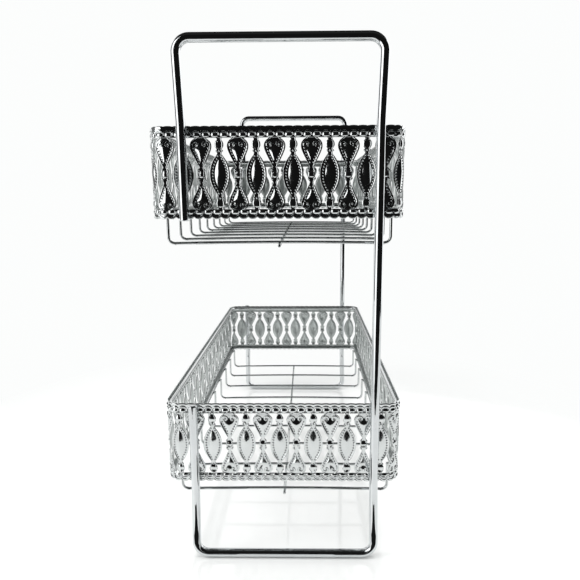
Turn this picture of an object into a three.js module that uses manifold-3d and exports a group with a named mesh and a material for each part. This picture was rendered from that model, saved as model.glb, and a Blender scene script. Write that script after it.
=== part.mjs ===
// A two-tier basket rack of welded, chrome-plated wire: two end frames of bent rod carry two baskets.
// Each basket is a pierced band closed into a loop, two wire rings inside it, and a floor of wires.
// Millimetres, +Z up. X runs along the baskets, -Y is the open front, and the origin is on the floor
// under the middle of the rack.
import * as THREE from "three";
import { mergeVertices } from "three/addons/utils/BufferGeometryUtils.js";
import Module from "manifold-3d";

const wasm = await Module();
wasm.setup();

// The rack over everything
const LENGTH = 320;
const HEIGHT = 324;
const GAP = 0.3; // between pieces that are welded together on the real rack

// Stock
const ROD = 5.5; // end frames
const RING_WIRE = 3;
const FLOOR_WIRE = 2;
const BAND_THICKNESS = 1.2; // over the embossing

// End frames
const LEG_SPACING = 114.4; // between the leg centres, beside the baskets
const HANDLE_SPACING = 118;
const FOOT_SPACING = 116.4;
const FRAME_BEND = 8; // centreline radius
const FLARE_BEND = 60; // centreline radius where a leg starts to lean outwards
const LEG_END_BELOW_BAND = 0.8;

// How far each part is welded from the middle of the rack, along Y
const FRAME_OFFSET = 1.75;
const LOWER_BASKET_OFFSET = 0.85;
const UPPER_BASKET_OFFSET = -0.85;

// Baskets
const BASKET_WIDTH = 152;
const BAND_HEIGHT = 53.6;
const LOWER_BAND_Z = 51.8;
const UPPER_BAND_Z = 221;
const BAND_CORNER = 10; // outside radius
const BORDER_HEIGHT = 6.4;
const RING_INSET = 2.4; // from the band's edge to the ring's centre
const RING_JOINT = 0.4; // gap between a ring's two ends

// Band pattern: columns of two shapes in turn
const PATTERN_REPEATS = 42;
const COLUMN_RECESS = 0.1; // a column is this much thinner than the border, on each side
const COLUMN_OVERLAP = 1.2; // length of a column's end inside the border
const UPPER_PATTERN_SHIFT = -12; // from the middle of the +X end to a marquise
const LOWER_PATTERN_SHIFT = -2;

// Basket floors
const CROSS_WIRES = 9;
const CROSS_SPACING = 33.8;
const FLOOR_DROP = 15.8; // from the band's lower edge to the cross wires' centres
const FLOOR_ARCH = 0.7;
const CROSS_BEND = 4;
const CENTRE_WIRE_FRONT = 3; // past the first and the last cross wire
const CENTRE_WIRE_REAR = 1.2;

// Facets
const ROD_SIDES = 12;
const WIRE_SIDES = 8;
const ROD_STEP = Math.PI / 10; // turn per facet in a bend
const WIRE_STEP = Math.PI / 6;
const BAND_STEP = Math.PI / 8;

const bandHalfLength = LENGTH / 2 - ROD - GAP;
const bandHalfWidth = BASKET_WIDTH / 2;

// Straight lengths joined by round bends, at the given corners. The first and last corners are its ends.
class BentPath {
  constructor(corners, radii, turnStep) {
    this.turnStep = turnStep;
    this.pieces = [];
    let start = corners[0];
    for (let i = 1; i < corners.length; i++) {
      const direction = corners[i].clone().sub(start).normalize();
      if (i === corners.length - 1) {
        this.addStraight(start, corners[i], direction);
        break;
      }
      const next = corners[i + 1].clone().sub(corners[i]).normalize();
      const angle = direction.angleTo(next);
      const radius = radii[i - 1];
      const setback = radius * Math.tan(angle / 2);
      const bendStart = corners[i].clone().addScaledVector(direction, -setback);
      this.addStraight(start, bendStart, direction);
      start = this.addBend(bendStart, direction, next, angle, radius);
    }
    this.length = this.pieces.reduce((sum, piece) => sum + piece.length, 0);
  }

  addStraight(start, end, direction) {
    const at = (s) => ({
      point: start.clone().addScaledVector(direction, s),
      tangent: direction.clone(),
    });
    this.pieces.push({ length: start.distanceTo(end), steps: 1, at });
  }

  addBend(start, direction, next, angle, radius) {
    const axis = direction.clone().cross(next).normalize();
    const inward = axis.clone().cross(direction);
    const centre = start.clone().addScaledVector(inward, radius);
    const at = (s) => ({
      point: start.clone().sub(centre).applyAxisAngle(axis, s / radius).add(centre),
      tangent: direction.clone().applyAxisAngle(axis, s / radius),
    });
    const steps = Math.ceil(angle / this.turnStep - 1e-6);
    this.pieces.push({ length: radius * angle, steps, at });
    return at(radius * angle).point;
  }

  // The point and direction at a distance from the start.
  at(distance) {
    let s = distance;
    for (const piece of this.pieces) {
      if (s <= piece.length) return piece.at(s);
      s -= piece.length;
    }
    const last = this.pieces.at(-1);
    return last.at(last.length);
  }

  // The points and directions where the facets meet.
  stations() {
    const list = [this.pieces[0].at(0)];
    for (const piece of this.pieces) {
      for (let i = 1; i <= piece.steps; i++) list.push(piece.at((piece.length * i) / piece.steps));
    }
    return list;
  }
}

// The same path as a three.js curve, whose evenly spaced parameters fall on the stations.
class StationCurve extends THREE.Curve {
  constructor(path) {
    super();
    this.list = path.stations();
    this.steps = this.list.length - 1;
  }

  getPointAt(u) {
    return this.list[Math.round(u * this.steps)].point.clone();
  }

  getTangentAt(u) {
    return this.list[Math.round(u * this.steps)].tangent.clone();
  }
}

// A section that measures the full diameter across its flats, one of which faces straight down.
function roundSection(diameter, sides) {
  const cornerRadius = diameter / 2 / Math.cos(Math.PI / sides);
  const points = [];
  for (let i = 0; i < sides; i++) {
    const angle = ((i + 0.5) * 2 * Math.PI) / sides;
    points.push(new THREE.Vector2(cornerRadius * Math.cos(angle), cornerRadius * Math.sin(angle)));
  }
  return new THREE.Shape(points);
}

function sweep(path, diameter, sides) {
  const curve = new StationCurve(path);
  return new THREE.ExtrudeGeometry(roundSection(diameter, sides), {
    steps: curve.steps,
    extrudePath: curve,
  });
}

function toSolid(geometry) {
  const bare = geometry.clone();
  bare.deleteAttribute("normal");
  bare.deleteAttribute("uv");
  const merged = mergeVertices(bare, 1e-4);
  return new wasm.Manifold(
    new wasm.Mesh({
      numProp: 3,
      vertProperties: merged.attributes.position.array,
      triVerts: new Uint32Array(merged.index.array),
    }),
  );
}

function toGeometry(solid) {
  const mesh = solid.getMesh();
  const geometry = new THREE.BufferGeometry();
  geometry.setAttribute("position", new THREE.BufferAttribute(mesh.vertProperties, 3));
  geometry.setIndex(new THREE.BufferAttribute(mesh.triVerts, 1));
  geometry.computeVertexNormals();
  return geometry;
}

// A loop around a basket, this far inside the band's outside face, from the middle of the +X or -X end.
function basketLoop(inset, z, turnStep, side = 1, opening = 0) {
  const x = side * (bandHalfLength - inset);
  const y = side * (bandHalfWidth - inset);
  const radius = BAND_CORNER - inset;
  const corners = [
    [x, (side * opening) / 2],
    [x, y],
    [-x, y],
    [-x, -y],
    [x, -y],
    [x, (-side * opening) / 2],
  ].map(([px, py]) => new THREE.Vector3(px, py, z));
  return new BentPath(corners, Array(4).fill(radius), turnStep);
}

// One rod: from the lower basket's rim down, under the rack, up the back, over the top and down again to
// the upper basket, so that the front between the tiers stays open.
function endFrame(x) {
  const lowerRim = LOWER_BAND_Z + BAND_HEIGHT;
  const upperRim = UPPER_BAND_Z + BAND_HEIGHT;
  const corners = [
    [-LEG_SPACING / 2, lowerRim],
    [-LEG_SPACING / 2, LOWER_BAND_Z],
    [-FOOT_SPACING / 2, ROD / 2],
    [FOOT_SPACING / 2, ROD / 2],
    [LEG_SPACING / 2, LOWER_BAND_Z],
    [LEG_SPACING / 2, upperRim],
    [HANDLE_SPACING / 2, HEIGHT - ROD / 2],
    [-HANDLE_SPACING / 2, HEIGHT - ROD / 2],
    [-LEG_SPACING / 2, upperRim],
    [-LEG_SPACING / 2, UPPER_BAND_Z - LEG_END_BELOW_BAND],
  ].map(([y, z]) => new THREE.Vector3(x, y, z));
  const radii = [
    FLARE_BEND, FRAME_BEND, FRAME_BEND, FLARE_BEND, FLARE_BEND, FRAME_BEND, FRAME_BEND, FLARE_BEND,
  ];
  return sweep(new BentPath(corners, radii, ROD_STEP), ROD, ROD_SIDES);
}

// Half of a column's outline, from bottom to top: [fraction of the height, half-width].
const MARQUISE = [
  [0, 1.9],
  [0.2, 1.9],
  [0.48, 5.3],
  [0.76, 1.9],
  [1, 1.9],
];
const HOURGLASS = [
  [0, 3.6],
  [0.12, 5.3],
  [0.48, 1.6],
  [0.88, 5.4],
  [1, 3.6],
];

// One half of a column on the flat strip: X along the strip, Y up it, Z out of it. The seam between the
// halves lets a column bend at a corner of the band.
function halfColumn(profile, side) {
  const bottom = BORDER_HEIGHT - COLUMN_OVERLAP;
  const height = BAND_HEIGHT - 2 * bottom;
  const edge = profile.map(([t, w]) => new THREE.Vector2(side * w, bottom + t * height));
  const seam = [new THREE.Vector2(0, bottom + height), new THREE.Vector2(0, bottom)];
  const outline = new THREE.Shape([...edge, ...seam]);
  const depth = BAND_THICKNESS - 2 * COLUMN_RECESS;
  return new THREE.ExtrudeGeometry(outline, { depth, bevelEnabled: false });
}

// Wraps a flat piece round the basket, centred at a distance along the loop.
function wrapOnBand(flat, loop, distance, z) {
  const wrapped = flat.clone();
  const position = wrapped.attributes.position;
  const depthAtFace = BAND_THICKNESS - COLUMN_RECESS;
  const v = new THREE.Vector3();
  for (let i = 0; i < position.count; i++) {
    v.fromBufferAttribute(position, i);
    const s = THREE.MathUtils.euclideanModulo(distance + v.x, loop.length);
    const { point, tangent } = loop.at(s);
    const outward = new THREE.Vector3(tangent.y, -tangent.x, 0);
    point.addScaledVector(outward, v.z - depthAtFace);
    position.setXYZ(i, point.x, point.y, z + v.y);
  }
  return wrapped;
}

function border(z) {
  const outline = (inset) =>
    basketLoop(inset, 0, BAND_STEP)
      .stations()
      .slice(0, -1)
      .map(({ point }) => new THREE.Vector2(point.x, point.y));
  const shape = new THREE.Shape(outline(0));
  shape.holes.push(new THREE.Path(outline(BAND_THICKNESS)));
  const geometry = new THREE.ExtrudeGeometry(shape, { depth: BORDER_HEIGHT, bevelEnabled: false });
  return geometry.translate(0, 0, z);
}

// The pierced band: two borders joined by columns of two shapes in turn.
function band(z, shift) {
  const loop = basketLoop(0, 0, BAND_STEP);
  const pitch = loop.length / PATTERN_REPEATS;
  const profiles = [MARQUISE, HOURGLASS];
  let solid = toSolid(border(z)).add(toSolid(border(z + BAND_HEIGHT - BORDER_HEIGHT)));
  for (let i = 0; i < 2 * PATTERN_REPEATS; i++) {
    for (const side of [-1, 1]) {
      const half = halfColumn(profiles[i % 2], side);
      solid = solid.add(toSolid(wrapOnBand(half, loop, shift + (i * pitch) / 2, z)));
    }
  }
  return toGeometry(solid);
}

// A ring of wire inside the band, its two ends facing each other in the middle of the -X end.
function basketRing(z) {
  const inset = BAND_THICKNESS + GAP + RING_WIRE / 2;
  return sweep(basketLoop(inset, z, WIRE_STEP, -1, RING_JOINT), RING_WIRE, WIRE_SIDES);
}

const crossWireHalfWidth = bandHalfWidth - BAND_THICKNESS - RING_WIRE - 2 * GAP - FLOOR_WIRE / 2;

// A U of wire across the basket, welded inside the bottom ring at both ends. Its middle is arched up.
function crossWire(x, bandZ) {
  const topZ = bandZ + RING_INSET + RING_WIRE / 2;
  const floorZ = bandZ - FLOOR_DROP;
  const corners = [
    [-crossWireHalfWidth, topZ],
    [-crossWireHalfWidth, floorZ],
    [0, floorZ + FLOOR_ARCH],
    [crossWireHalfWidth, floorZ],
    [crossWireHalfWidth, topZ],
  ].map(([y, z]) => new THREE.Vector3(x, y, z));
  const archBend = crossWireHalfWidth;
  return sweep(new BentPath(corners, [CROSS_BEND, archBend, CROSS_BEND], WIRE_STEP), FLOOR_WIRE, WIRE_SIDES);
}

// A straight wire along the middle of the basket, under the cross wires.
function centreWire(bandZ) {
  const reach = ((CROSS_WIRES - 1) / 2) * CROSS_SPACING;
  const z = bandZ - FLOOR_DROP + FLOOR_ARCH - FLOOR_WIRE - GAP;
  const corners = [
    new THREE.Vector3(-reach - CENTRE_WIRE_REAR, 0, z),
    new THREE.Vector3(reach + CENTRE_WIRE_FRONT, 0, z),
  ];
  return sweep(new BentPath(corners, [], WIRE_STEP), FLOOR_WIRE, WIRE_SIDES);
}

function chrome(color, roughness) {
  return new THREE.MeshStandardMaterial({ color, roughness, metalness: 1 });
}

const rack = new THREE.Group();

function add(name, geometry, offset, material) {
  const mesh = new THREE.Mesh(geometry.translate(0, offset, 0), material);
  mesh.name = name;
  rack.add(mesh);
}

const frameX = LENGTH / 2 - ROD / 2;
add("right_end_frame", endFrame(frameX), FRAME_OFFSET, chrome(0xd5d8da, 0.08));
add("left_end_frame", endFrame(-frameX), FRAME_OFFSET, chrome(0xd5d8da, 0.08));

const TIERS = [
  { tier: "lower", bandZ: LOWER_BAND_Z, offset: LOWER_BASKET_OFFSET, shift: LOWER_PATTERN_SHIFT },
  { tier: "upper", bandZ: UPPER_BAND_Z, offset: UPPER_BASKET_OFFSET, shift: UPPER_PATTERN_SHIFT },
];
for (const { tier, bandZ, offset, shift } of TIERS) {
  const topRing = basketRing(bandZ + BAND_HEIGHT - RING_INSET);
  add(`${tier}_filigree_band`, band(bandZ, shift), offset, chrome(0xc3c6c6, 0.16));
  add(`${tier}_top_ring`, topRing, offset, chrome(0xd0d3d5, 0.1));
  add(`${tier}_bottom_ring`, basketRing(bandZ + RING_INSET), offset, chrome(0xd0d3d5, 0.1));
  for (let i = 0; i < CROSS_WIRES; i++) {
    const x = ((CROSS_WIRES - 1) / 2 - i) * CROSS_SPACING;
    add(`${tier}_cross_wire_${i + 1}`, crossWire(x, bandZ), offset, chrome(0xd0d3d5, 0.12));
  }
  add(`${tier}_centre_wire`, centreWire(bandZ), offset, chrome(0xd0d3d5, 0.12));
}

export default rack;
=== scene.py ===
"""The looks of a two-tier basket rack: chrome rod and wire, and two embossed filigree bands.

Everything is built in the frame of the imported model: metres, +Z up, +X along the baskets, and -Y the open
front. The rack's lengths are written in millimetres times MM, the filigree's in plain millimetres and the
studio's in metres.
"""

import math

import bpy
import numpy as np
from mathutils import Matrix, Vector


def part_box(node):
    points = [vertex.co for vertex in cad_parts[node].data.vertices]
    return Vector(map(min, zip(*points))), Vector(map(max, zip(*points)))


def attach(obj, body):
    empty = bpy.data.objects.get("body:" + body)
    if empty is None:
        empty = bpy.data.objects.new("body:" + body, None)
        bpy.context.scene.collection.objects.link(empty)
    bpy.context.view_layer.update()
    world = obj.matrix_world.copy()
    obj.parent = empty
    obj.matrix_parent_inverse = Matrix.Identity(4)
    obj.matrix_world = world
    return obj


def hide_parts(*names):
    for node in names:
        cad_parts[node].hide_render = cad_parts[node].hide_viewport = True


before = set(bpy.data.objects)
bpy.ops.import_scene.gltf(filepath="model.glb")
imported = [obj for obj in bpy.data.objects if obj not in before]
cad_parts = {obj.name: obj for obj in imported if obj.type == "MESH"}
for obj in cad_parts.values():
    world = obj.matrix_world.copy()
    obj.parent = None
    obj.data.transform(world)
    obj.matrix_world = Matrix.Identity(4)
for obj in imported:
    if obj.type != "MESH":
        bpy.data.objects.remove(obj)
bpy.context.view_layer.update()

MM = 0.001
BODY = "root"
TIERS = ("lower", "upper")
UP = np.array([0.0, 0.0, 1.0])
ALONG = np.array([1.0, 0.0, 0.0])

# Design values that the boxes of the nodes don't show
LEG_SPACING = 114.4 * MM
FOOT_SPACING = 116.4 * MM
FRAME_BEND = 8 * MM
FLARE_BEND = 60 * MM
BAND_CORNER = 10 * MM
CROSS_BEND = 4 * MM
FLOOR_ARCH = 0.7 * MM
RING_JOINT = 0.4 * MM
PATTERN_REPEATS = 42
PATTERN_SHIFT = {"lower": -2 * MM, "upper": -12 * MM}
CROSS_WIRES = 9
LEG_END = 0.8 * MM  # how far the cut ends of the short legs hang below the upper band

ROD_SIDES = 32
RING_SIDES = 18
FLOOR_SIDES = 14
ROD_CHAMFER = 0.35 * MM
RING_CHAMFER = 0.25 * MM
FLOOR_CHAMFER = 0.2 * MM

# Half sizes of the weld nuggets
ROD_WELD = (0.7 * MM, 1.5 * MM, 2.0 * MM)
ROD_WELD_INSET = 3.2 * MM  # from a band's upper and lower edge
RING_WELD = np.array((0.75, 0.9, 0.7))  # as shares of the wire's radius
RING_WELD_DROP = 0.5  # below the wire's middle, as a share of its radius
CROSS_WELD = (0.95 * MM, 0.7 * MM, 1.25 * MM)
CENTRE_WELD = (1.0 * MM, 1.0 * MM, 0.65 * MM)
WELD_GAP = 0.1 * MM  # from a floor wire's surface to the middle of its weld

TURN_STEP = math.radians(7)  # between the stations of a bend
HOLD = 0.8 * MM  # a long straight length gets a station this close to each end, to keep its shading flat
LONG_STRAIGHT = 6 * HOLD
CROSS_STATIONS = 25  # along the arched part of a cross wire


# ---------------------------------------------------------------- meshes


class Surface:
    """The points and faces of one piece, gathered patch by patch."""

    def __init__(self):
        self.points = []
        self.faces = {3: [], 4: []}
        self.slots = {3: [], 4: []}
        self.count = 0

    def add(self, points, faces, slot=0):
        """Adds a patch: its points, and arrays of triangles and quads that index them."""
        points = np.asarray(points, float).reshape(-1, 3)
        for block in faces:
            block = np.asarray(block, int)
            corners = block.shape[1]
            self.faces[corners].append(block + self.count)
            self.slots[corners].append(np.full(len(block), slot))
        self.points.append(points)
        self.count += len(points)

    def arrays(self):
        points = np.concatenate(self.points)
        blocks = {}
        for corners in (3, 4):
            if self.faces[corners]:
                faces = np.concatenate(self.faces[corners])
                blocks[corners] = (faces, np.concatenate(self.slots[corners]))
        return points, blocks


def mesh_object(name, points, blocks, materials, sharp_degrees=50):
    """A smooth-shaded object from points and {corners: (faces, material slots)}."""
    mesh = bpy.data.meshes.new(name)
    mesh.vertices.add(len(points))
    mesh.vertices.foreach_set("co", points.astype(np.float32).ravel())
    loops = np.concatenate([faces.ravel() for faces, _ in blocks.values()])
    sizes = np.concatenate([np.full(len(faces), corners) for corners, (faces, _) in blocks.items()])
    slots = np.concatenate([slot for _, slot in blocks.values()])
    mesh.loops.add(len(loops))
    mesh.loops.foreach_set("vertex_index", loops.astype(np.int32))
    mesh.polygons.add(len(sizes))
    starts = np.concatenate([[0], np.cumsum(sizes)[:-1]])
    mesh.polygons.foreach_set("loop_start", starts.astype(np.int32))
    mesh.polygons.foreach_set("material_index", slots.astype(np.int32))
    mesh.update(calc_edges=True)
    mesh.validate()
    mesh.shade_smooth()
    mesh.set_sharp_from_angle(angle=math.radians(sharp_degrees))
    for material in materials:
        mesh.materials.append(material)
    obj = bpy.data.objects.new(name, mesh)
    bpy.context.scene.collection.objects.link(obj)
    return obj


def piece(name, surface, materials, slot, *nodes):
    """Makes the piece, rides it on the rack's body and lets it stand for its CAD nodes."""
    points, blocks = surface.arrays()
    obj = mesh_object(name, points, blocks, materials)
    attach(obj, BODY)
    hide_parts(*nodes)


def grid_quads(rows, columns, closed=False):
    """Quads of a grid of points, numbered row by row. A closed grid's last column meets its first."""
    i = np.arange(rows - 1)[:, None]
    j = np.arange(columns if closed else columns - 1)[None, :]
    k = (j + 1) % columns
    quads = np.stack(np.broadcast_arrays(i * columns + j, i * columns + k,
                                         (i + 1) * columns + k, (i + 1) * columns + j), axis=-1)
    return quads.reshape(-1, 4)


def bent_path(corners, radii):
    """Stations along straight lengths joined by round bends: points and directions."""
    corners = [np.array(c, float) for c in corners]
    points, directions = [corners[0]], []
    for before, corner, after, radius in zip(corners, corners[1:], corners[2:], radii):
        d0 = (corner - before) / np.linalg.norm(corner - before)
        d1 = (after - corner) / np.linalg.norm(after - corner)
        angle = math.acos(np.clip(d0 @ d1, -1, 1))
        axis = np.cross(d0, d1) / math.sin(angle)
        inward = np.cross(axis, d0)
        start = corner - d0 * radius * math.tan(angle / 2)
        if not directions:
            directions.append(d0)
        for a in np.linspace(0, angle, max(2, math.ceil(angle / TURN_STEP)) + 1):
            points.append(start + radius * (inward * (1 - math.cos(a)) + d0 * math.sin(a)))
            directions.append(d0 * math.cos(a) + inward * math.sin(a))
    points.append(corners[-1])
    directions.append((corners[-1] - corners[-2]) / np.linalg.norm(corners[-1] - corners[-2]))
    return hold_straights(points, directions)


def hold_straights(points, directions):
    """Adds stations near the ends of the long straight lengths of a path."""
    held_points, held_directions = [points[0]], [directions[0]]
    for a, b, direction in zip(points, points[1:], directions[1:]):
        if np.linalg.norm(b - a) > LONG_STRAIGHT:
            along = (b - a) / np.linalg.norm(b - a)
            held_points += [a + along * HOLD, b - along * HOLD]
            held_directions += [along, along]
        held_points.append(b)
        held_directions.append(direction)
    return np.array(held_points), np.array(held_directions)


def tube(surface, points, directions, plane, radius, sides, chamfer=0.0):
    """A round bar along a flat path, with two cut ends. The radius may change along it.

    plane is the normal of the plane that the path lies in.
    """
    points, directions = np.asarray(points), np.asarray(directions)
    radii = np.broadcast_to(np.asarray(radius, float), len(points)).copy()
    if chamfer:
        first, last = points[0] + directions[0] * chamfer, points[-1] - directions[-1] * chamfer
        points = np.vstack([points[:1], first, points[1:-1], last, points[-1:]])
        directions = np.vstack([directions[:1], directions[:1], directions[1:-1],
                                directions[-1:], directions[-1:]])
        radii = np.concatenate([[radii[0] - chamfer, radii[0]], radii[1:-1],
                                [radii[-1], radii[-1] - chamfer]])
    angles = np.arange(sides) * 2 * math.pi / sides
    across = np.cross(plane, directions)
    rim = (across[:, None, :] * np.cos(angles)[None, :, None]
           + np.asarray(plane)[None, None, :] * np.sin(angles)[None, :, None])
    shell = points[:, None, :] + rim * radii[:, None, None]
    count = len(points) * sides
    everything = np.vstack([shell.reshape(-1, 3), points[:1], points[-1:]])
    j = np.arange(sides)
    k = (j + 1) % sides
    start_cap = np.stack([np.full(sides, count), k, j], axis=1)
    tail = count - sides
    end_cap = np.stack([np.full(sides, count + 1), tail + j, tail + k], axis=1)
    surface.add(everything, [grid_quads(len(points), sides, closed=True), start_cap, end_cap])


def ball(sides, rings, top_only=False):
    """A unit ball, or its upper half, as points and faces."""
    low = 0.0 if top_only else -math.pi / 2
    latitudes = np.linspace(low, math.pi / 2, rings + 1)[:-1]
    if not top_only:
        latitudes = latitudes[1:]
    turn = np.arange(sides) * 2 * math.pi / sides
    shell = np.stack([np.outer(np.cos(latitudes), np.cos(turn)),
                      np.outer(np.cos(latitudes), np.sin(turn)),
                      np.outer(np.sin(latitudes), np.ones(sides))], axis=-1).reshape(-1, 3)
    count = len(shell)
    j = np.arange(sides)
    k = (j + 1) % sides
    faces = [grid_quads(len(latitudes), sides, closed=True)] if len(latitudes) > 1 else []
    top = np.stack([np.full(sides, count), count - sides + j, count - sides + k], axis=1)
    points = [shell, [[0, 0, 1]]]
    faces.append(top)
    if not top_only:
        points.append([[0, 0, -1]])
        faces.append(np.stack([np.full(sides, count + 1), k, j], axis=1))
    return np.vstack(points), faces


WELD = ball(sides=12, rings=8)


def weld(surface, centre, half_sizes):
    """A nugget of weld metal between two pieces that touch."""
    points, faces = WELD
    surface.add(points * np.asarray(half_sizes) + np.asarray(centre), faces)


# ---------------------------------------------------------------- materials


def node_material(name):
    material = bpy.data.materials.new(name)
    material.use_nodes = True
    nodes, links = material.node_tree.nodes, material.node_tree.links
    return material, nodes, links, nodes["Principled BSDF"]


def object_noise(nodes, links, scale, detail=3.0):
    """Noise that is fixed to the object."""
    place = nodes.new("ShaderNodeTexCoord")
    noise = nodes.new("ShaderNodeTexNoise")
    noise.inputs["Scale"].default_value = scale
    noise.inputs["Detail"].default_value = detail
    links.new(place.outputs["Object"], noise.inputs["Vector"])
    return noise.outputs["Fac"]


def ramp(nodes, links, value, low, high, low_out, high_out):
    """Maps a value's range to another."""
    node = nodes.new("ShaderNodeMapRange")
    node.inputs["From Min"].default_value = low
    node.inputs["From Max"].default_value = high
    node.inputs["To Min"].default_value = low_out
    node.inputs["To Max"].default_value = high_out
    links.new(value, node.inputs["Value"])
    return node.outputs["Result"]


def colour_mix(nodes, links, factor, low, high):
    node = nodes.new("ShaderNodeMix")
    node.data_type = "RGBA"
    links.new(factor, node.inputs["Factor"])
    node.inputs["A"].default_value = (*low, 1)
    node.inputs["B"].default_value = (*high, 1)
    return node.outputs["Result"]


PATCH_SCALE = 90
SMUDGE_SCALE = 240
SMUDGE_RANGE = (0.35, 0.7)  # of the noise, from the smooth to the rough end


def plated(name, dark, light, smooth, rough, waves, wave_depth, grain, grain_depth):
    """Chrome plate: patchy tone and gloss, slow waves of the metal under it and a fine grain."""
    material, nodes, links, shader = node_material(name)
    shader.inputs["Metallic"].default_value = 1.0
    patches = object_noise(nodes, links, PATCH_SCALE)
    links.new(colour_mix(nodes, links, patches, dark, light), shader.inputs["Base Color"])
    smudges = object_noise(nodes, links, SMUDGE_SCALE, detail=5.0)
    links.new(ramp(nodes, links, smudges, *SMUDGE_RANGE, smooth, rough), shader.inputs["Roughness"])
    slow = nodes.new("ShaderNodeBump")
    slow.inputs["Distance"].default_value = wave_depth
    links.new(object_noise(nodes, links, waves, detail=1.0), slow.inputs["Height"])
    fine = nodes.new("ShaderNodeBump")
    fine.inputs["Distance"].default_value = grain_depth
    links.new(object_noise(nodes, links, grain, detail=2.0), fine.inputs["Height"])
    links.new(slow.outputs["Normal"], fine.inputs["Normal"])
    links.new(fine.outputs["Normal"], shader.inputs["Normal"])
    return material


rod_chrome = plated(
    "rod_chrome", dark=(0.62, 0.64, 0.65), light=(0.74, 0.76, 0.77), smooth=0.03, rough=0.10,
    waves=160, wave_depth=0.05 * MM, grain=1500, grain_depth=0.004 * MM,
)
wire_chrome = plated(
    "wire_chrome", dark=(0.55, 0.57, 0.57), light=(0.68, 0.70, 0.70), smooth=0.06, rough=0.16,
    waves=300, wave_depth=0.10 * MM, grain=2500, grain_depth=0.006 * MM,
)
band_chrome = plated(
    "band_chrome", dark=(0.60, 0.62, 0.62), light=(0.74, 0.76, 0.76), smooth=0.06, rough=0.16,
    waves=420, wave_depth=0.03 * MM, grain=3000, grain_depth=0.005 * MM,
)
band_inside = plated(
    "band_inside_satin", dark=(0.46, 0.49, 0.48), light=(0.62, 0.65, 0.64), smooth=0.28, rough=0.45,
    waves=500, wave_depth=0.14 * MM, grain=2600, grain_depth=0.02 * MM,
)


# ---------------------------------------------------------------- end frames

band_boxes = {tier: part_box(f"{tier}_filigree_band") for tier in TIERS}
lower_band = band_boxes["lower"]
upper_band = band_boxes["upper"]
BAND_HEIGHT = lower_band[1].z - lower_band[0].z
BAND_HALF_LENGTH = lower_band[1].x
BAND_HALF_WIDTH = (lower_band[1].y - lower_band[0].y) / 2


def middle_and_half(low, high):
    """The middle of a box across the baskets, and half its width there."""
    return (low.y + high.y) / 2, (high.y - low.y) / 2


def end_frame(name):
    """One bent rod, from the lower basket's rim round the foot, up the back, over the top and down."""
    low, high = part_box(name)
    rod = (high.x - low.x) / 2
    x = (high.x + low.x) / 2
    middle, half = middle_and_half(low, high)
    handle, foot, leg = half - rod, FOOT_SPACING / 2, LEG_SPACING / 2
    cut_end = upper_band[0].z - LEG_END
    outline = [(-leg, lower_band[1].z), (-leg, lower_band[0].z), (-foot, low.z + rod),
               (foot, low.z + rod), (leg, lower_band[0].z), (leg, upper_band[1].z),
               (handle, high.z - rod), (-handle, high.z - rod), (-leg, upper_band[1].z), (-leg, cut_end)]
    corners = [(x, middle + y, z) for y, z in outline]
    radii = [FLARE_BEND, FRAME_BEND, FRAME_BEND, FLARE_BEND, FLARE_BEND, FRAME_BEND, FRAME_BEND, FLARE_BEND]
    surface = Surface()
    points, directions = bent_path(corners, radii)
    tube(surface, points, directions, ALONG, rod, ROD_SIDES, ROD_CHAMFER)
    face = math.copysign(BAND_HALF_LENGTH, x)
    for band in band_boxes.values():
        for z in (band[0].z + ROD_WELD_INSET, band[1].z - ROD_WELD_INSET):
            for y in (middle - leg, middle + leg):
                weld(surface, (face, y, z), ROD_WELD)
    piece(name.replace("end_frame", "end_rod"), surface, [rod_chrome], "frame_chrome", name)


# ---------------------------------------------------------------- rings and floors


def basket_ring(name):
    """A ring of wire inside a band, its cut ends facing each other in the middle of the -X end."""
    low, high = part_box(name)
    wire = (high.z - low.z) / 2
    z = (high.z + low.z) / 2
    middle, half = middle_and_half(low, high)
    x, y = high.x - wire, half - wire
    radius = BAND_CORNER - (BAND_HALF_WIDTH - y)
    gap = RING_JOINT / 2
    outline = [(-x, -gap), (-x, -y), (x, -y), (x, y), (-x, y), (-x, gap)]
    corners = [(a, middle + b, z) for a, b in outline]
    surface = Surface()
    points, directions = bent_path(corners, [radius] * 4)
    tube(surface, points, directions, UP, wire, RING_SIDES, RING_CHAMFER)
    weld(surface, (-x, middle, z - RING_WELD_DROP * wire), RING_WELD * wire)
    piece(name + "_wire", surface, [wire_chrome], "wire_chrome", name)


def cross_wire(name, ring_name):
    """A U of wire across a basket, arched in the middle and welded to the bottom ring at both ends.

    Returns its x and the height of its underside in the middle.
    """
    low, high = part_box(name)
    wire = (high.x - low.x) / 2
    x = (high.x + low.x) / 2
    middle, half = middle_and_half(low, high)
    half -= wire
    floor = low.z + wire
    flat = half - CROSS_BEND
    y = np.linspace(-flat, flat, CROSS_STATIONS)
    bottom = np.stack([np.full_like(y, x), y, floor + FLOOR_ARCH * (1 - (y / flat) ** 2)], axis=1)
    slope = -2 * FLOOR_ARCH * y / flat**2
    bottom_directions = np.stack([np.zeros_like(y), np.ones_like(y), slope], axis=1)
    left, left_directions = bent_path([(x, -half, high.z), (x, -half, floor), (x, 0, floor)], [CROSS_BEND])
    right, right_directions = bent_path([(x, 0, floor), (x, half, floor), (x, half, high.z)], [CROSS_BEND])
    points = np.vstack([left[:-2], bottom, right[2:]]) + (0, middle, 0)
    directions = np.vstack([left_directions[:-2], bottom_directions, right_directions[2:]])
    surface = Surface()
    tube(surface, points, directions, ALONG, wire, FLOOR_SIDES, FLOOR_CHAMFER)
    ring_low, ring_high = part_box(ring_name)
    ring_z = (ring_low.z + ring_high.z) / 2
    for side in (-1, 1):
        outside = middle + side * (half + wire + WELD_GAP)
        weld(surface, (x, outside, ring_z), CROSS_WELD)
    piece(name.replace("cross_wire", "floor_wire"), surface, [wire_chrome], "wire_chrome", name)
    return x, floor + FLOOR_ARCH - wire


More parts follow.
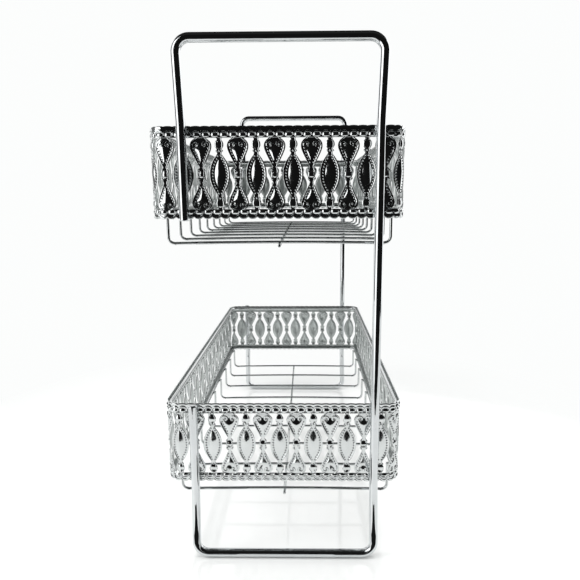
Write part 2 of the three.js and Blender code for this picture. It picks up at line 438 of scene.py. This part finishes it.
def centre_wire(name, crossings):
    """The straight wire along the middle, under the cross wires, with a nugget at each crossing."""
    low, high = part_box(name)
    wire = (high.z - low.z) / 2
    y, z = (high.y + low.y) / 2, (high.z + low.z) / 2
    surface = Surface()
    ends = [np.array((low.x, y, z)), np.array((high.x, y, z))]
    tube(surface, *hold_straights(ends, [ALONG, ALONG]), UP, wire, FLOOR_SIDES, FLOOR_CHAMFER)
    for x, underside in crossings:
        weld(surface, (x, y, underside - WELD_GAP), CENTRE_WELD)
    piece(name.replace("centre_wire", "long_wire"), surface, [wire_chrome], "wire_chrome", name)


# ---------------------------------------------------------------- filigree band
#
# The pattern is laid out on a flat strip in millimetres: s along it, z up from its lower edge and h out of
# it, from 0 at the inside to RELIEF at the highest crest. One repeat holds a marquise column and an
# hourglass column between two borders, and the strip is then wrapped round the basket.

RELIEF = 1.2
SHEET = 0.36
GROUND = 0.4  # h of the plain sheet's outside face
INSIDE_LEAST = 0.02  # the lowest h of the inside face
STRIP_HEIGHT = BAND_HEIGHT / MM
TOP_BORDER = STRIP_HEIGHT - 6.9  # lower edge of the top border
BOTTOM_BORDER = 6.0  # upper edge of the bottom border
STRIP_LENGTH = (4 * (BAND_HALF_LENGTH + BAND_HALF_WIDTH) - (8 - 2 * math.pi) * BAND_CORNER) / MM
PITCH = STRIP_LENGTH / PATTERN_REPEATS
LINKS = 4  # links of the chain borders in one repeat
LINK = PITCH / LINKS

RIM = 0.78  # width of the flat top of a column's raised rim
RIM_RISE = 0.36
RIM_SLOPE = 0.62  # from the rim down to the groove that holds the beads
RIM_FROM, RIM_FULL = 0.8, 2.4  # half-widths between which the rim gains its height
ROLL, ROLL_WIDTH = 0.07, 0.12  # how far a column's cut edge is turned in, and over what width
FULL_MARGIN = 3.3  # a column of a smaller half-width has its rim and beads drawn in, in proportion
MARQUISE_BOSS = 3.1  # from the column's edge to the foot of its boss
HOURGLASS_BOSS = 2.6
BEADS = 1.85  # from a column's edge to its row of beads
BEAD_RADIUS = 0.6
BEAD_SPACING = 1.78


def bump(x):
    """A smooth hill of height 1 between -1 and 1."""
    return np.where(np.abs(x) < 1, np.cos(np.clip(x, -1, 1) * math.pi / 2) ** 2, 0.0)


def fold(distance, rise, at, half_width):
    """A smooth line pressed into the sheet, at a distance from an edge."""
    return rise * bump((distance - at) / half_width)


def dome(x):
    """A round hill of height 1 between -1 and 1."""
    return np.sqrt(np.clip(1 - np.asarray(x) ** 2, 0, 1))


SHARPNESS = 8


def smooth_max(values):
    """The greatest of some positive values, with the corners between them rounded."""
    return sum(v**SHARPNESS for v in values) ** (1 / SHARPNESS)


def squeeze(half):
    """How much a column's rim and beads are drawn in at a half-width."""
    return np.minimum(1, half / FULL_MARGIN)


def lens(z, centre, half_width, half_height):
    """Half-width of a pointed oval made of two arcs."""
    radius = (half_height**2 + half_width**2) / (2 * half_width)
    inside = np.clip(radius**2 - (z - centre) ** 2, 0, None)
    return np.clip(np.sqrt(inside) - radius + half_width, 0, None)


CENTRE = 25.9  # z of the middle of the marquise's oval and of the hourglass's knot
BULBS = (43.0, 9.3)
COLLARS = (39.5, 12.3)
FOOT_INSET = 0.6
FEET = (TOP_BORDER + FOOT_INSET, BOTTOM_BORDER - FOOT_INSET)

# Half-widths of the marquise column's parts, and after the stem their half-heights too
STEM = 1.35
BULB = (2.6, 3.0)
COLLAR = (2.35, 0.85)
OVAL = (6.0, 12.9)
FOOT = (2.2, 1.6)


def marquise_outline(z):
    """Half-width of the column with the pointed oval."""
    stem = np.full_like(z, STEM)
    bulbs = [BULB[0] * dome((z - c) / BULB[1]) for c in BULBS]
    collars = [COLLAR[0] * dome((z - c) / COLLAR[1]) for c in COLLARS]
    feet = [FOOT[0] * bump((z - c) / FOOT[1]) for c in FEET]
    return smooth_max([stem, *bulbs, *collars, lens(z, CENTRE, *OVAL), *feet])


# z and half-width of the hourglass column, from the bottom border to the top one
HOURGLASS = np.array([
    (5.0, 2.8), (5.9, 4.0), (6.8, 5.1), (8.2, 5.8), (9.9, 6.0), (12.5, 5.25), (15.2, 3.9), (18.9, 2.2),
    (21.9, 1.2), (23.3, 2.5), (24.7, 2.0), (25.9, 2.2), (27.1, 2.0), (28.5, 2.5), (29.9, 1.2),
    (32.0, 2.1), (34.5, 3.4), (38.2, 5.2), (40.9, 6.2), (42.9, 6.3), (44.6, 5.7), (45.7, 4.7), (46.9, 2.9),
])


def hourglass_outline(z):
    """Half-width of the column with two teardrops, as a smooth curve through its points."""
    heights, widths = HOURGLASS.T
    slopes = np.gradient(widths, heights)
    i = np.clip(np.searchsorted(heights, z) - 1, 0, len(heights) - 2)
    span = heights[i + 1] - heights[i]
    t = np.clip((z - heights[i]) / span, 0, 1)
    return ((2 * t**3 - 3 * t**2 + 1) * widths[i] + (t**3 - 2 * t**2 + t) * span * slopes[i]
            + (3 * t**2 - 2 * t**3) * widths[i + 1] + (t**3 - t**2) * span * slopes[i + 1])


# z of a gem's crest, and how far the gem reaches above and below it
MARQUISE_GEM = (27.3, 8.2, 10.8)
TEARDROPS = ((39.2, 3.9, 6.4), (12.2, 6.4, 3.7))
GEM_LENGTHWAYS = 1.12  # powers: 1 is an even slope, and more rounds the crest
GEM_CROSSWISE = 1.5
GEM_NECK = 0.6  # half-width below which a gem sinks into the sheet

# Heights of the bosses, and the half sizes of those that are domes
MARQUISE_RISE = 0.82
TEARDROP_RISE = 0.8
BULB_DOME, BULB_RISE = (2.3, 2.5), 0.7
KNOT_DOME, KNOT_RISE = (1.9, 1.8), 0.78


def gem(z, x, crest, above, below, half_width):
    """A boss like a cut stone: it falls from a long rounded crest to its outline."""
    across = np.abs(x) / np.maximum(half_width, 1e-3)
    along = (z - crest) / np.where(z > crest, above, below)
    lengthways = np.clip(1 - np.abs(along) ** GEM_LENGTHWAYS, 0, 1)
    crosswise = np.clip(1 - across**GEM_CROSSWISE, 0, 1)
    return lengthways * np.clip(half_width / GEM_NECK, 0, 1) * crosswise


def pressed_dome(z, x, centre, half_sizes):
    """An oval dome of height 1 on the middle line of a column."""
    half_width, half_height = half_sizes
    return dome(np.hypot(x / half_width, (z - centre) / half_height))


def marquise_relief(z, x, boss_half):
    """Height of the ornament inside the marquise column's outline."""
    bulbs = [pressed_dome(z, x, c, BULB_DOME) for c in BULBS]
    return MARQUISE_RISE * gem(z, x, *MARQUISE_GEM, boss_half) + BULB_RISE * sum(bulbs)


def hourglass_relief(z, x, boss_half):
    """Height of the ornament inside the hourglass column's outline."""
    drops = [gem(z, x, *teardrop, boss_half) for teardrop in TEARDROPS]
    return TEARDROP_RISE * sum(drops) + KNOT_RISE * pressed_dome(z, x, CENTRE, KNOT_DOME)


# Lines of points along a column: shares of the boss's half-width, then distances from the column's edge
BOSS_LINES = (0, 0.2, 0.5, 0.77, 0.93, 1.0)
EDGE_LINES = (BEADS, RIM + RIM_SLOPE, RIM + 0.42, RIM + 0.2, RIM, ROLL_WIDTH, 0.0)


def column(unit, centre, outline, relief, boss_edge, rows):
    """One embossed column of the strip: outside face, inside face and the cut edge between them."""
    half = outline(rows)
    drawn_in = squeeze(half)
    boss_half = half - boss_edge * drawn_in
    lines = [boss_half * share for share in BOSS_LINES] + [half - d * drawn_in for d in EDGE_LINES]
    right = np.stack(lines, axis=1)
    x = np.hstack([-right[:, :0:-1], right])
    z = np.repeat(rows[:, None], x.shape[1], axis=1)
    edge_distance = (half[:, None] - np.abs(x)) / drawn_in[:, None]
    past_rim = np.clip(edge_distance - RIM, 0, None)
    rim_share = np.clip((half[:, None] - RIM_FROM) / (RIM_FULL - RIM_FROM), 0, 1)
    rim = RIM_RISE * bump(past_rim / RIM_SLOPE) * rim_share
    rolled = ROLL * bump(edge_distance / ROLL_WIDTH)
    height = np.clip(GROUND + rim - rolled + relief(z, x, boss_half[:, None]), 0, RELIEF)
    outside = np.stack([centre + x, z, height], axis=-1)
    inside = outside.copy()
    inside[..., 2] = np.clip(height - SHEET, INSIDE_LEAST, None)
    count, columns = x.shape
    unit.add(outside, [grid_quads(count, columns)[:, ::-1]], slot=0)
    keep = np.unique(np.r_[0, np.arange(1, columns - 1, 2), (columns - 1) // 2, columns - 1])
    unit.add(inside[:, keep], [grid_quads(count, len(keep))], slot=1)
    for side, turn in ((0, 1), (-1, -1)):
        edge = np.stack([outside[:, side], inside[:, side]], axis=1)
        unit.add(edge, [grid_quads(count, 2)[:, ::turn]], slot=0)


BEAD = ball(sides=8, rings=3, top_only=True)
SUNK = 0.04  # how far a bead is sunk into the sheet
EDGE_SUNK = 0.1  # and a bead that stands on a column's edge
BEAD_SAMPLES = 200  # points that trace the line of a row of beads


def beads(unit, positions, radius=BEAD_RADIUS, base=GROUND - SUNK):
    """Round beads on the outside face, at (s, z) points."""
    points, faces = BEAD
    rise = min(radius, RELIEF - base)
    for s, z in positions:
        unit.add(points * (radius, radius, rise) + (s, z, base), faces, slot=0)


def bead_row(outline, low, high):
    """(s, z) points of a row of beads inside a column's outline, on both sides of it."""
    z = np.linspace(low, high, BEAD_SAMPLES)
    half = outline(z)
    x = half - BEADS * squeeze(half)
    length = np.concatenate([[0], np.cumsum(np.hypot(np.diff(x), np.diff(z)))])
    count = max(2, round(length[-1] / BEAD_SPACING) + 1)
    at = np.linspace(0, length[-1], count)
    bead_x, bead_z = np.interp(at, length, x), np.interp(at, length, z)
    return [(side * a, b) for a, b in zip(bead_x, bead_z) for side in (-1, 1)]


STRAND_SIDES = 6
STRAND_BASE = GROUND + 0.04  # h of a strand's middle
STRAND_TAPER = 0.7  # power of the sine that a strand's radius follows


def strand(unit, line, radius):
    """A raised wire-like line on the outside face: (s, z) points and a radius that may change along it."""
    line = np.asarray(line, float)
    directions = np.gradient(line, axis=0)
    directions /= np.linalg.norm(directions, axis=1)[:, None]
    points = np.column_stack([line, np.full(len(line), STRAND_BASE)])
    directions = np.column_stack([directions, np.zeros(len(line))])
    tube(unit, points, directions, UP, radius, STRAND_SIDES)


def tapered(count, middle, end):
    """Radii that swell from the ends to the middle."""
    return end + (middle - end) * np.sin(np.linspace(0, math.pi, count)) ** STRAND_TAPER


SCROLL_EYES = ((8.6, -1), (43.1, 1))  # z of a scroll's eye, and 1 at the top or -1 for its mirror image
SCROLL_STATIONS = 13
SCROLL_TURN = (-0.15 * math.pi, 1.55 * math.pi)
SCROLL_REACH = (2.25, 0.85)  # from its eye, at its start and its end
SCROLL_ASIDE = 2.55  # from the column's middle line to the middle of the curl
SCROLL_SQUASH = 0.95
SCROLL_RADII = (0.74, 0.46)  # of the strand, in its middle and at its ends
EYE_ASIDE, EYE_RADIUS = 2.5, 0.62


def scroll(unit, centre, side, eye, up):
    """A C-scroll at the wide end of a teardrop: it leaves the outline, rounds the end and curls in."""
    turn = np.linspace(*SCROLL_TURN, SCROLL_STATIONS)
    reach = np.linspace(*SCROLL_REACH, SCROLL_STATIONS)
    s = centre + side * (SCROLL_ASIDE + reach * np.cos(turn))
    z = eye + up * SCROLL_SQUASH * reach * np.sin(turn)
    strand(unit, np.column_stack([s, z]), tapered(SCROLL_STATIONS, *SCROLL_RADII))
    beads(unit, [(centre + side * EYE_ASIDE, eye)], radius=EYE_RADIUS)


def rows_of_points(*stretches):
    """Heights of a column's rows of points, from (low, high, step) stretches."""
    return np.concatenate([np.arange(*stretch) for stretch in stretches])


MARQUISE_ROWS = rows_of_points((5.2, 14.0, 0.55), (14.0, 38.0, 1.1), (38.0, 47.9, 0.55))
MARQUISE_BEADS = (15.2, 36.6)  # the lowest and the highest z
COLLAR_BEAD, COLLAR_ASIDE = 0.66, 1.65

HOURGLASS_ROWS = rows_of_points((5.2, 14.0, 0.75), (14.0, 21.5, 1.0), (21.5, 30.5, 0.6), (30.5, 40.0, 1.0),
                                (40.0, 47.2, 0.7))
HOURGLASS_BEADS = ((32.8, 41.0), (10.6, 19.0))
KNOT_BEAD, KNOT_ASIDE, KNOT_ABOVE = 0.68, 1.65, 2.6


def marquise_column(unit, centre):
    """A pointed oval between two bulbs, with beads along its edge and three on each collar."""
    column(unit, centre, marquise_outline, marquise_relief, MARQUISE_BOSS, MARQUISE_ROWS)
    beads(unit, [(centre + s, z) for s, z in bead_row(marquise_outline, *MARQUISE_BEADS)])
    beside = [(centre + side * COLLAR_ASIDE, z) for side in (-1, 1) for z in COLLARS]
    beads(unit, beside, radius=COLLAR_BEAD, base=GROUND - EDGE_SUNK)
    beads(unit, [(centre, z) for z in COLLARS], radius=COLLAR_BEAD)


def hourglass_column(unit, centre):
    """Two teardrops point to point, with beads along them, a beaded knot between and scrolls at the ends."""
    column(unit, centre, hourglass_outline, hourglass_relief, HOURGLASS_BOSS, HOURGLASS_ROWS)
    for low, high in HOURGLASS_BEADS:
        beads(unit, [(centre + s, z) for s, z in bead_row(hourglass_outline, low, high)])
    around = [(centre + side * KNOT_ASIDE, CENTRE + way * KNOT_ABOVE) for side in (-1, 1) for way in (-1, 1)]
    beads(unit, around, radius=KNOT_BEAD, base=GROUND - EDGE_SUNK)
    for side in (-1, 1):
        for eye, up in SCROLL_EYES:
            scroll(unit, centre, side, eye, up)


STEPS_PER_LINK = 8
SCALLOP_ARC = 0.92  # the share of a half circle's width that one scallop follows
TOP_SCALLOP = 0.35
BOTTOM_SCALLOP = 1.15

# Lines of a border: how far each is raised, its distance from the edge, and its half-width
INNER_LINE = (0.24, 0.62, 0.6)
OUTER_LINE = (0.36, 0.5, 0.6)
INNER_ROLL = (-0.12, 0.0, 0.3)
OUTER_ROLL = (-0.25, 0.0, 0.3)

# Lines of points along a border, as shares of its height, and those that its inside face has too
BORDER_LINES = np.array([0, 0.06, 0.11, 0.17, 0.3, 0.55, 0.8, 0.9, 0.96, 1.0])
INSIDE_LINES = [0, 2, 4, 6, 7, 9]


def border_edge(s, depth):
    """How far the chain's scallops leave the strip's edge bare."""
    t = ((s / LINK) % 1) * 2 - 1
    arc = 1 - np.sqrt(np.clip(1 - (SCALLOP_ARC * t) ** 2, 0, 1))
    return depth * arc / (1 - math.sqrt(1 - SCALLOP_ARC**2))


def border(unit, top):
    """One chain border of a repeat: a strip with a line along each edge, scallops outside and its links."""
    s = np.linspace(-PITCH / 4, PITCH * 3 / 4, STEPS_PER_LINK * LINKS + 1)
    inner, outer = (TOP_BORDER, STRIP_HEIGHT) if top else (BOTTOM_BORDER, 0.0)
    scallop = border_edge(s, TOP_SCALLOP if top else BOTTOM_SCALLOP)
    outer_edge = outer - scallop if top else outer + scallop
    z = inner + BORDER_LINES[:, None] * (outer_edge - inner)[None, :]
    from_inner = np.abs(z - inner)
    from_outer = np.abs(z - outer_edge[None, :])
    height = (GROUND + fold(from_inner, *INNER_LINE) + fold(from_outer, *OUTER_LINE)
              + fold(from_inner, *INNER_ROLL) + fold(from_outer, *OUTER_ROLL))
    outside = np.stack([np.broadcast_to(s, z.shape), z, height], axis=-1)
    inside = outside.copy()
    inside[..., 2] = np.clip(height - SHEET, INSIDE_LEAST, None)
    rows, columns = z.shape
    turn = 1 if top else -1
    unit.add(outside, [grid_quads(rows, columns)[:, ::turn]], slot=0)
    unit.add(inside[INSIDE_LINES], [grid_quads(len(INSIDE_LINES), columns)[:, ::-turn]], slot=1)
    for row, way in ((0, turn), (-1, -turn)):
        edge = np.stack([outside[row], inside[row]], axis=0)
        unit.add(edge, [grid_quads(2, columns)[:, ::-way]], slot=0)
    for i in range(LINKS):
        chain_link(unit, s[0] + (i + 0.5) * LINK, inner, outer, TOP_ARCH if top else BOTTOM_ARCH)


MOUND = ball(sides=12, rings=3, top_only=True)
MOON_HALF = (2.25, 1.6)
MOON_RISE = 0.76
MOON_SUNK = 0.02
MOON_ASIDE = 0.2

# Heights in a border are shares of its height, from its inner edge
TOP_ARCH = 0.66
BOTTOM_ARCH = 0.8
ARCH_FOOT = 0.27
ARCH_TILT = 0.05
ARCH_HALF = 2.95
ARCH_LEAN = 0.5
ARCH_TURN = (-0.06 * math.pi, 1.0 * math.pi)
ARCH_STATIONS = 12
ARCH_RADII = (0.66, 0.3)  # of the strand, in its middle and at its ends
DOT_HEIGHT = 0.28
DOT_ASIDE, DOT_RADIUS = 0.3, 0.5


def half_moon(unit, place):
    """A smooth loaf on the outside face. Its slopes are even towards the inside and outside of the border."""
    points, faces = MOUND
    x, z, _ = points.T
    z = z * np.sqrt(1 + x**2)
    loaf = np.column_stack([x, z, 1 - x**4 - z**2])
    unit.add(loaf * (*MOON_HALF, MOON_RISE) + (*place, GROUND - MOON_SUNK), faces, slot=0)


def chain_link(unit, centre, inner, outer, arch):
    """One link of a chain border: an arch that leans on the next one, a half-moon under it, and a dot."""
    height = outer - inner
    turn = np.linspace(*ARCH_TURN, ARCH_STATIONS)
    s = centre - ARCH_HALF * np.cos(turn) + ARCH_LEAN * np.sin(turn)
    z = inner + height * (ARCH_FOOT + (arch - ARCH_FOOT) * np.sin(turn) + ARCH_TILT * np.cos(turn))
    strand(unit, np.column_stack([s, z]), tapered(ARCH_STATIONS, *ARCH_RADII))
    half_moon(unit, (centre + MOON_ASIDE, inner + ARCH_FOOT * height))
    beads(unit, [(centre - LINK / 2 + DOT_ASIDE, inner + DOT_HEIGHT * height)], radius=DOT_RADIUS)


def pattern_repeat():
    """One repeat of the strip, with the marquise at s = 0 and the hourglass half a pitch on."""
    unit = Surface()
    marquise_column(unit, 0.0)
    hourglass_column(unit, PITCH / 2)
    border(unit, top=True)
    border(unit, top=False)
    return unit.arrays()


def wrap(points, shift, origin):
    """Places strip points, in millimetres, on the outside of a basket. Its origin is under its middle.

    The strip starts in the middle of the +X end. Five straight sides and four round corners take it round.
    """
    # Half length, half width and corner radius
    a, b, r = BAND_HALF_LENGTH / MM, BAND_HALF_WIDTH / MM, BAND_CORNER / MM
    straight = [b - r, 2 * (a - r), 2 * (b - r), 2 * (a - r), b - r]
    arc = math.pi * r / 2
    s = np.mod(points[:, 0] + shift / MM, STRIP_LENGTH)
    starts = [(a, 0), (a - r, b), (-a, b - r), (r - a, -b), (a, r - b)]
    centres = [(a - r, b - r), (r - a, b - r), (r - a, r - b), (a - r, r - b)]
    x, y = np.zeros_like(s), np.zeros_like(s)
    nx, ny = np.zeros_like(s), np.zeros_like(s)
    begin = 0.0
    for side in range(5):
        heading = side * math.pi / 2
        on_side = (s >= begin) & (s <= begin + straight[side])
        d = s[on_side] - begin
        x[on_side] = starts[side][0] - math.sin(heading) * d
        y[on_side] = starts[side][1] + math.cos(heading) * d
        nx[on_side], ny[on_side] = math.cos(heading), math.sin(heading)
        begin += straight[side]
        if side < 4:
            on_arc = (s > begin) & (s < begin + arc)
            angle = heading + (s[on_arc] - begin) / r
            nx[on_arc], ny[on_arc] = np.cos(angle), np.sin(angle)
            x[on_arc] = centres[side][0] + r * nx[on_arc]
            y[on_arc] = centres[side][1] + r * ny[on_arc]
            begin += arc
    out = points[:, 2] - RELIEF
    placed = np.column_stack([x + nx * out, y + ny * out, points[:, 1]]) * MM
    return placed + origin


def filigree_band(tier, repeat):
    """A whole band: the repeat laid end to end round the basket."""
    points, blocks = repeat
    shifts = np.arange(PATTERN_REPEATS) * PITCH
    tiled = np.tile(points, (PATTERN_REPEATS, 1))
    tiled[:, 0] += np.repeat(shifts, len(points))
    low, high = band_boxes[tier]
    placed = wrap(tiled, PATTERN_SHIFT[tier], (0, middle_and_half(low, high)[0], low.z))
    offsets = np.arange(PATTERN_REPEATS) * len(points)
    tiled_blocks = {}
    for corners, (faces, slots) in blocks.items():
        every = (faces[None, :, :] + offsets[:, None, None]).reshape(-1, corners)
        tiled_blocks[corners] = (every, np.tile(slots, PATTERN_REPEATS))
    name = f"{tier}_filigree"
    obj = mesh_object(name, placed, tiled_blocks, [band_chrome, band_inside], sharp_degrees=60)
    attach(obj, BODY)
    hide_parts(f"{tier}_filigree_band")


def build_rack():
    for name in ("right_end_frame", "left_end_frame"):
        end_frame(name)
    repeat = pattern_repeat()
    for tier in TIERS:
        filigree_band(tier, repeat)
        basket_ring(f"{tier}_top_ring")
        basket_ring(f"{tier}_bottom_ring")
        crossings = []
        for i in range(CROSS_WIRES):
            crossings.append(cross_wire(f"{tier}_cross_wire_{i + 1}", f"{tier}_bottom_ring"))
        centre_wire(f"{tier}_centre_wire", crossings)


# ---------------------------------------------------------------- stage

CAMERA_SENSOR = 36
CAMERA_LENS = 33.2
CAMERA_CLIP = 0.01
CAMERA_PITCH = math.radians(10.41)
CAMERA_YAW = math.radians(-0.83)
CAMERA_ROLL = math.radians(-0.27)
CAMERA_SHIFT = (-0.0157, 0.0087)
CAMERA_IN_FRONT = 0.3167  # of the near end frame
CAMERA_ASIDE = 0.0164
CAMERA_ABOVE = 0.2340  # the table


def camera():
    """Looks at the +X end, along the baskets, from a little above the upper one."""
    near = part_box("right_end_frame")
    middle = (near[0].x + near[1].x) / 2
    place = Vector((middle + CAMERA_IN_FRONT, CAMERA_ASIDE, CAMERA_ABOVE))
    forward = Vector((-math.cos(CAMERA_YAW) * math.cos(CAMERA_PITCH),
                      math.sin(CAMERA_YAW) * math.cos(CAMERA_PITCH), -math.sin(CAMERA_PITCH)))
    right = Vector((math.sin(CAMERA_YAW), math.cos(CAMERA_YAW), 0))
    up = right.cross(forward)
    rolled_right = right * math.cos(CAMERA_ROLL) + up * math.sin(CAMERA_ROLL)
    rolled_up = up * math.cos(CAMERA_ROLL) - right * math.sin(CAMERA_ROLL)
    data = bpy.data.cameras.new("camera")
    data.lens = CAMERA_LENS
    data.sensor_width = CAMERA_SENSOR
    data.shift_x, data.shift_y = CAMERA_SHIFT
    data.clip_start = CAMERA_CLIP
    obj = bpy.data.objects.new("camera", data)
    obj.matrix_world = Matrix((
        (rolled_right.x, rolled_up.x, -forward.x, place.x),
        (rolled_right.y, rolled_up.y, -forward.y, place.y),
        (rolled_right.z, rolled_up.z, -forward.z, place.z),
        (0, 0, 0, 1),
    ))
    bpy.context.scene.collection.objects.link(obj)
    bpy.context.scene.camera = obj


def emission(name, colour, strength):
    material = bpy.data.materials.new(name)
    material.use_nodes = True
    nodes, links = material.node_tree.nodes, material.node_tree.links
    nodes.clear()
    glow = nodes.new("ShaderNodeEmission")
    glow.inputs["Color"].default_value = (*colour, 1)
    glow.inputs["Strength"].default_value = strength
    out = nodes.new("ShaderNodeOutputMaterial")
    links.new(glow.outputs["Emission"], out.inputs["Surface"])
    return material


def only_seen_by(obj, *rays):
    """Studio gear that takes part in some kinds of ray only."""
    for kind in ("camera", "diffuse", "glossy", "transmission", "volume_scatter", "shadow"):
        setattr(obj, f"visible_{kind}", kind in rays)


WHITE = (1, 1, 1)
ROOM_RADIUS = 1.5
WALL_STATIONS = 33


def wall(name, azimuths, heights, brightness):
    """A curved wall of the studio, seen in the chrome only. Azimuth 0 is +X and 90 is +Y."""
    turn = np.radians(np.linspace(*azimuths, WALL_STATIONS))
    ring = np.stack([ROOM_RADIUS * np.cos(turn), ROOM_RADIUS * np.sin(turn)], axis=1)
    points = [np.column_stack([ring, np.full(len(ring), z)]) for z in heights]
    blocks = {4: (grid_quads(2, len(ring)), np.zeros(len(ring) - 1, int))}
    obj = mesh_object(name, np.vstack(points), blocks, [emission(name, WHITE, brightness)])
    only_seen_by(obj, "glossy")


def rectangle(name, x_range, y_range, z, materials):
    """A level sheet that faces up."""
    points = np.array([(x, y, z) for x in x_range for y in y_range])
    return mesh_object(name, points, {4: (grid_quads(2, 2)[:, ::-1], np.zeros(1, int))}, materials)


def flat_card(name, x_range, y_range, z, brightness, one_sided=False):
    """A level card, seen in the chrome only. A one-sided card is clear from below."""
    material = emission(name, WHITE, brightness)
    if one_sided:
        nodes, links = material.node_tree.nodes, material.node_tree.links
        clear = nodes.new("ShaderNodeBsdfTransparent")
        mix = nodes.new("ShaderNodeMixShader")
        links.new(nodes.new("ShaderNodeNewGeometry").outputs["Backfacing"], mix.inputs["Fac"])
        links.new(nodes["Emission"].outputs["Emission"], mix.inputs[1])
        links.new(clear.outputs["BSDF"], mix.inputs[2])
        links.new(mix.outputs["Shader"], nodes["Material Output"].inputs["Surface"])
    obj = rectangle(name, x_range, y_range, z, [material])
    only_seen_by(obj, "glossy")


LIGHT_TARGET = Vector((0, 0, 0.16))  # the middle of the rack


def area_light(name, centre, size, power):
    """A soft box that lights the table and doesn't show in the chrome."""
    data = bpy.data.lights.new(name, "AREA")
    data.shape = "RECTANGLE"
    data.size, data.size_y = size
    data.energy = power
    obj = bpy.data.objects.new(name, data)
    obj.location = centre
    obj.rotation_mode = "QUATERNION"
    obj.rotation_quaternion = (Vector(centre) - LIGHT_TARGET).to_track_quat("Z", "Y")
    obj.visible_glossy = False
    bpy.context.scene.collection.objects.link(obj)


TABLE_FRONT = 0.40  # where the white table ends, under the camera
TABLE_BACK = -1.0
TABLE_SIDE = 0.8
TABLE_COLOUR = (0.80, 0.805, 0.80)
TABLE_ROUGHNESS = 0.06
TABLE_IOR = 1.8
FADE = (0.20, 0.36)  # distances from the origin where the table starts and ends its fade into the backdrop
BACKDROP = (0.975, 0.985, 0.98)
BACKDROP_RADIUS = 2.9


def table():
    """A glossy white table top that fades into the backdrop."""
    material, nodes, links, shader = node_material("table_white")
    shader.inputs["Base Color"].default_value = (*TABLE_COLOUR, 1)
    shader.inputs["Roughness"].default_value = TABLE_ROUGHNESS
    shader.inputs["IOR"].default_value = TABLE_IOR
    geometry = nodes.new("ShaderNodeNewGeometry")
    length = nodes.new("ShaderNodeVectorMath")
    length.operation = "LENGTH"
    links.new(geometry.outputs["Position"], length.inputs[0])
    fade = ramp(nodes, links, length.outputs["Value"], *FADE, 0.0, 1.0)
    glow = nodes.new("ShaderNodeEmission")
    glow.inputs["Color"].default_value = (*BACKDROP, 1)
    mix = nodes.new("ShaderNodeMixShader")
    links.new(fade, mix.inputs["Fac"])
    links.new(shader.outputs["BSDF"], mix.inputs[1])
    links.new(glow.outputs["Emission"], mix.inputs[2])
    links.new(mix.outputs["Shader"], nodes["Material Output"].inputs["Surface"])
    obj = rectangle("table", (TABLE_BACK, TABLE_FRONT), (-TABLE_SIDE, TABLE_SIDE), 0, [material])


def backdrop():
    """Plain white all round, seen by the camera only."""
    bpy.ops.mesh.primitive_uv_sphere_add(segments=64, ring_count=32, radius=BACKDROP_RADIUS)
    obj = bpy.context.object
    obj.name = "backdrop"
    obj.data.materials.append(emission("backdrop_white", BACKDROP, 1.0))
    only_seen_by(obj, "camera")


FLOOR_TO_CEILING = (-0.5, 1.5)

# Name, azimuths in degrees, heights and brightness
WALLS = (
    ("left_window", (-70, -32), FLOOR_TO_CEILING, 1.9),
    ("left_curtain", (-112, -70), FLOOR_TO_CEILING, 0.2),
    ("left_far_window", (-140, -112), FLOOR_TO_CEILING, 1.4),
    ("far_wall_low", (140, 220), (-0.5, 0.5), 0.5),
    ("far_wall_high", (140, 220), (0.5, 1.5), 1.2),
    ("right_window", (98, 140), FLOOR_TO_CEILING, 1.6),
    ("dark_room", (-32, 98), (-1.5, 1.5), 0.008),
)

ROOM_HALF = 1.6
CEILING_HEIGHT, CEILING_BRIGHTNESS = 1.5, 0.02
FLOOR_HEIGHT, FLOOR_BRIGHTNESS = -0.4, 0.01

# Dark cards before the feet, seen in the chrome only: a painted dark reflection on the front of the foot bar,
# where the pale table would show
DARK_REFLECTION_FROM, DARK_REFLECTION_TO = 8 * MM, 62 * MM  # from the near end frame
DARK_REFLECTION_HALF = 25 * MM
DARK_REFLECTION_HEIGHT, DARK_REFLECTION_BRIGHTNESS = 0.2 * MM, 0.01


def room():
    """What the chrome shows: windows and a curtain at the sides, a pale far wall, and darkness elsewhere."""
    for name, azimuths, heights, brightness in WALLS:
        wall(name, azimuths, heights, brightness)
    span = (-ROOM_HALF, ROOM_HALF)
    flat_card("dark_ceiling", span, span, CEILING_HEIGHT, CEILING_BRIGHTNESS)
    flat_card("dark_floor", (TABLE_FRONT, ROOM_HALF), span, FLOOR_HEIGHT, FLOOR_BRIGHTNESS)
    # Painted dark reflection: cards before the near feet, seen in the chrome only, darken the front of the
    # foot bar while the table stays white
    low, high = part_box("right_end_frame")
    reach = (high.x + DARK_REFLECTION_FROM, high.x + DARK_REFLECTION_TO)
    for side in (-1, 1):
        y = (low.y + high.y) / 2 + side * FOOT_SPACING / 2
        across = (y - DARK_REFLECTION_HALF, y + DARK_REFLECTION_HALF)
        flat_card(f"painted_dark_reflection_{side}", reach, across, DARK_REFLECTION_HEIGHT, DARK_REFLECTION_BRIGHTNESS, one_sided=True)


SKY = (0.97, 0.98, 0.975)


def surroundings():
    """Even light from all round."""
    world = bpy.data.worlds.new("room")
    bpy.context.scene.world = world
    world.use_nodes = True
    background = world.node_tree.nodes["Background"]
    background.inputs["Color"].default_value = (*SKY, 1)
    background.inputs["Strength"].default_value = 1.0


def studio():
    camera()
    surroundings()
    table()
    backdrop()
    room()
    area_light("window", centre=(0.35, -0.95, 0.5), size=(0.5, 0.8), power=6.0)
    area_light("ceiling", centre=(0.1, 0.1, 1.3), size=(1.2, 1.0), power=9.0)
    scene = bpy.context.scene
    scene.view_settings.view_transform = "Standard"
    scene.view_settings.look = "None"


build_rack()
studio()
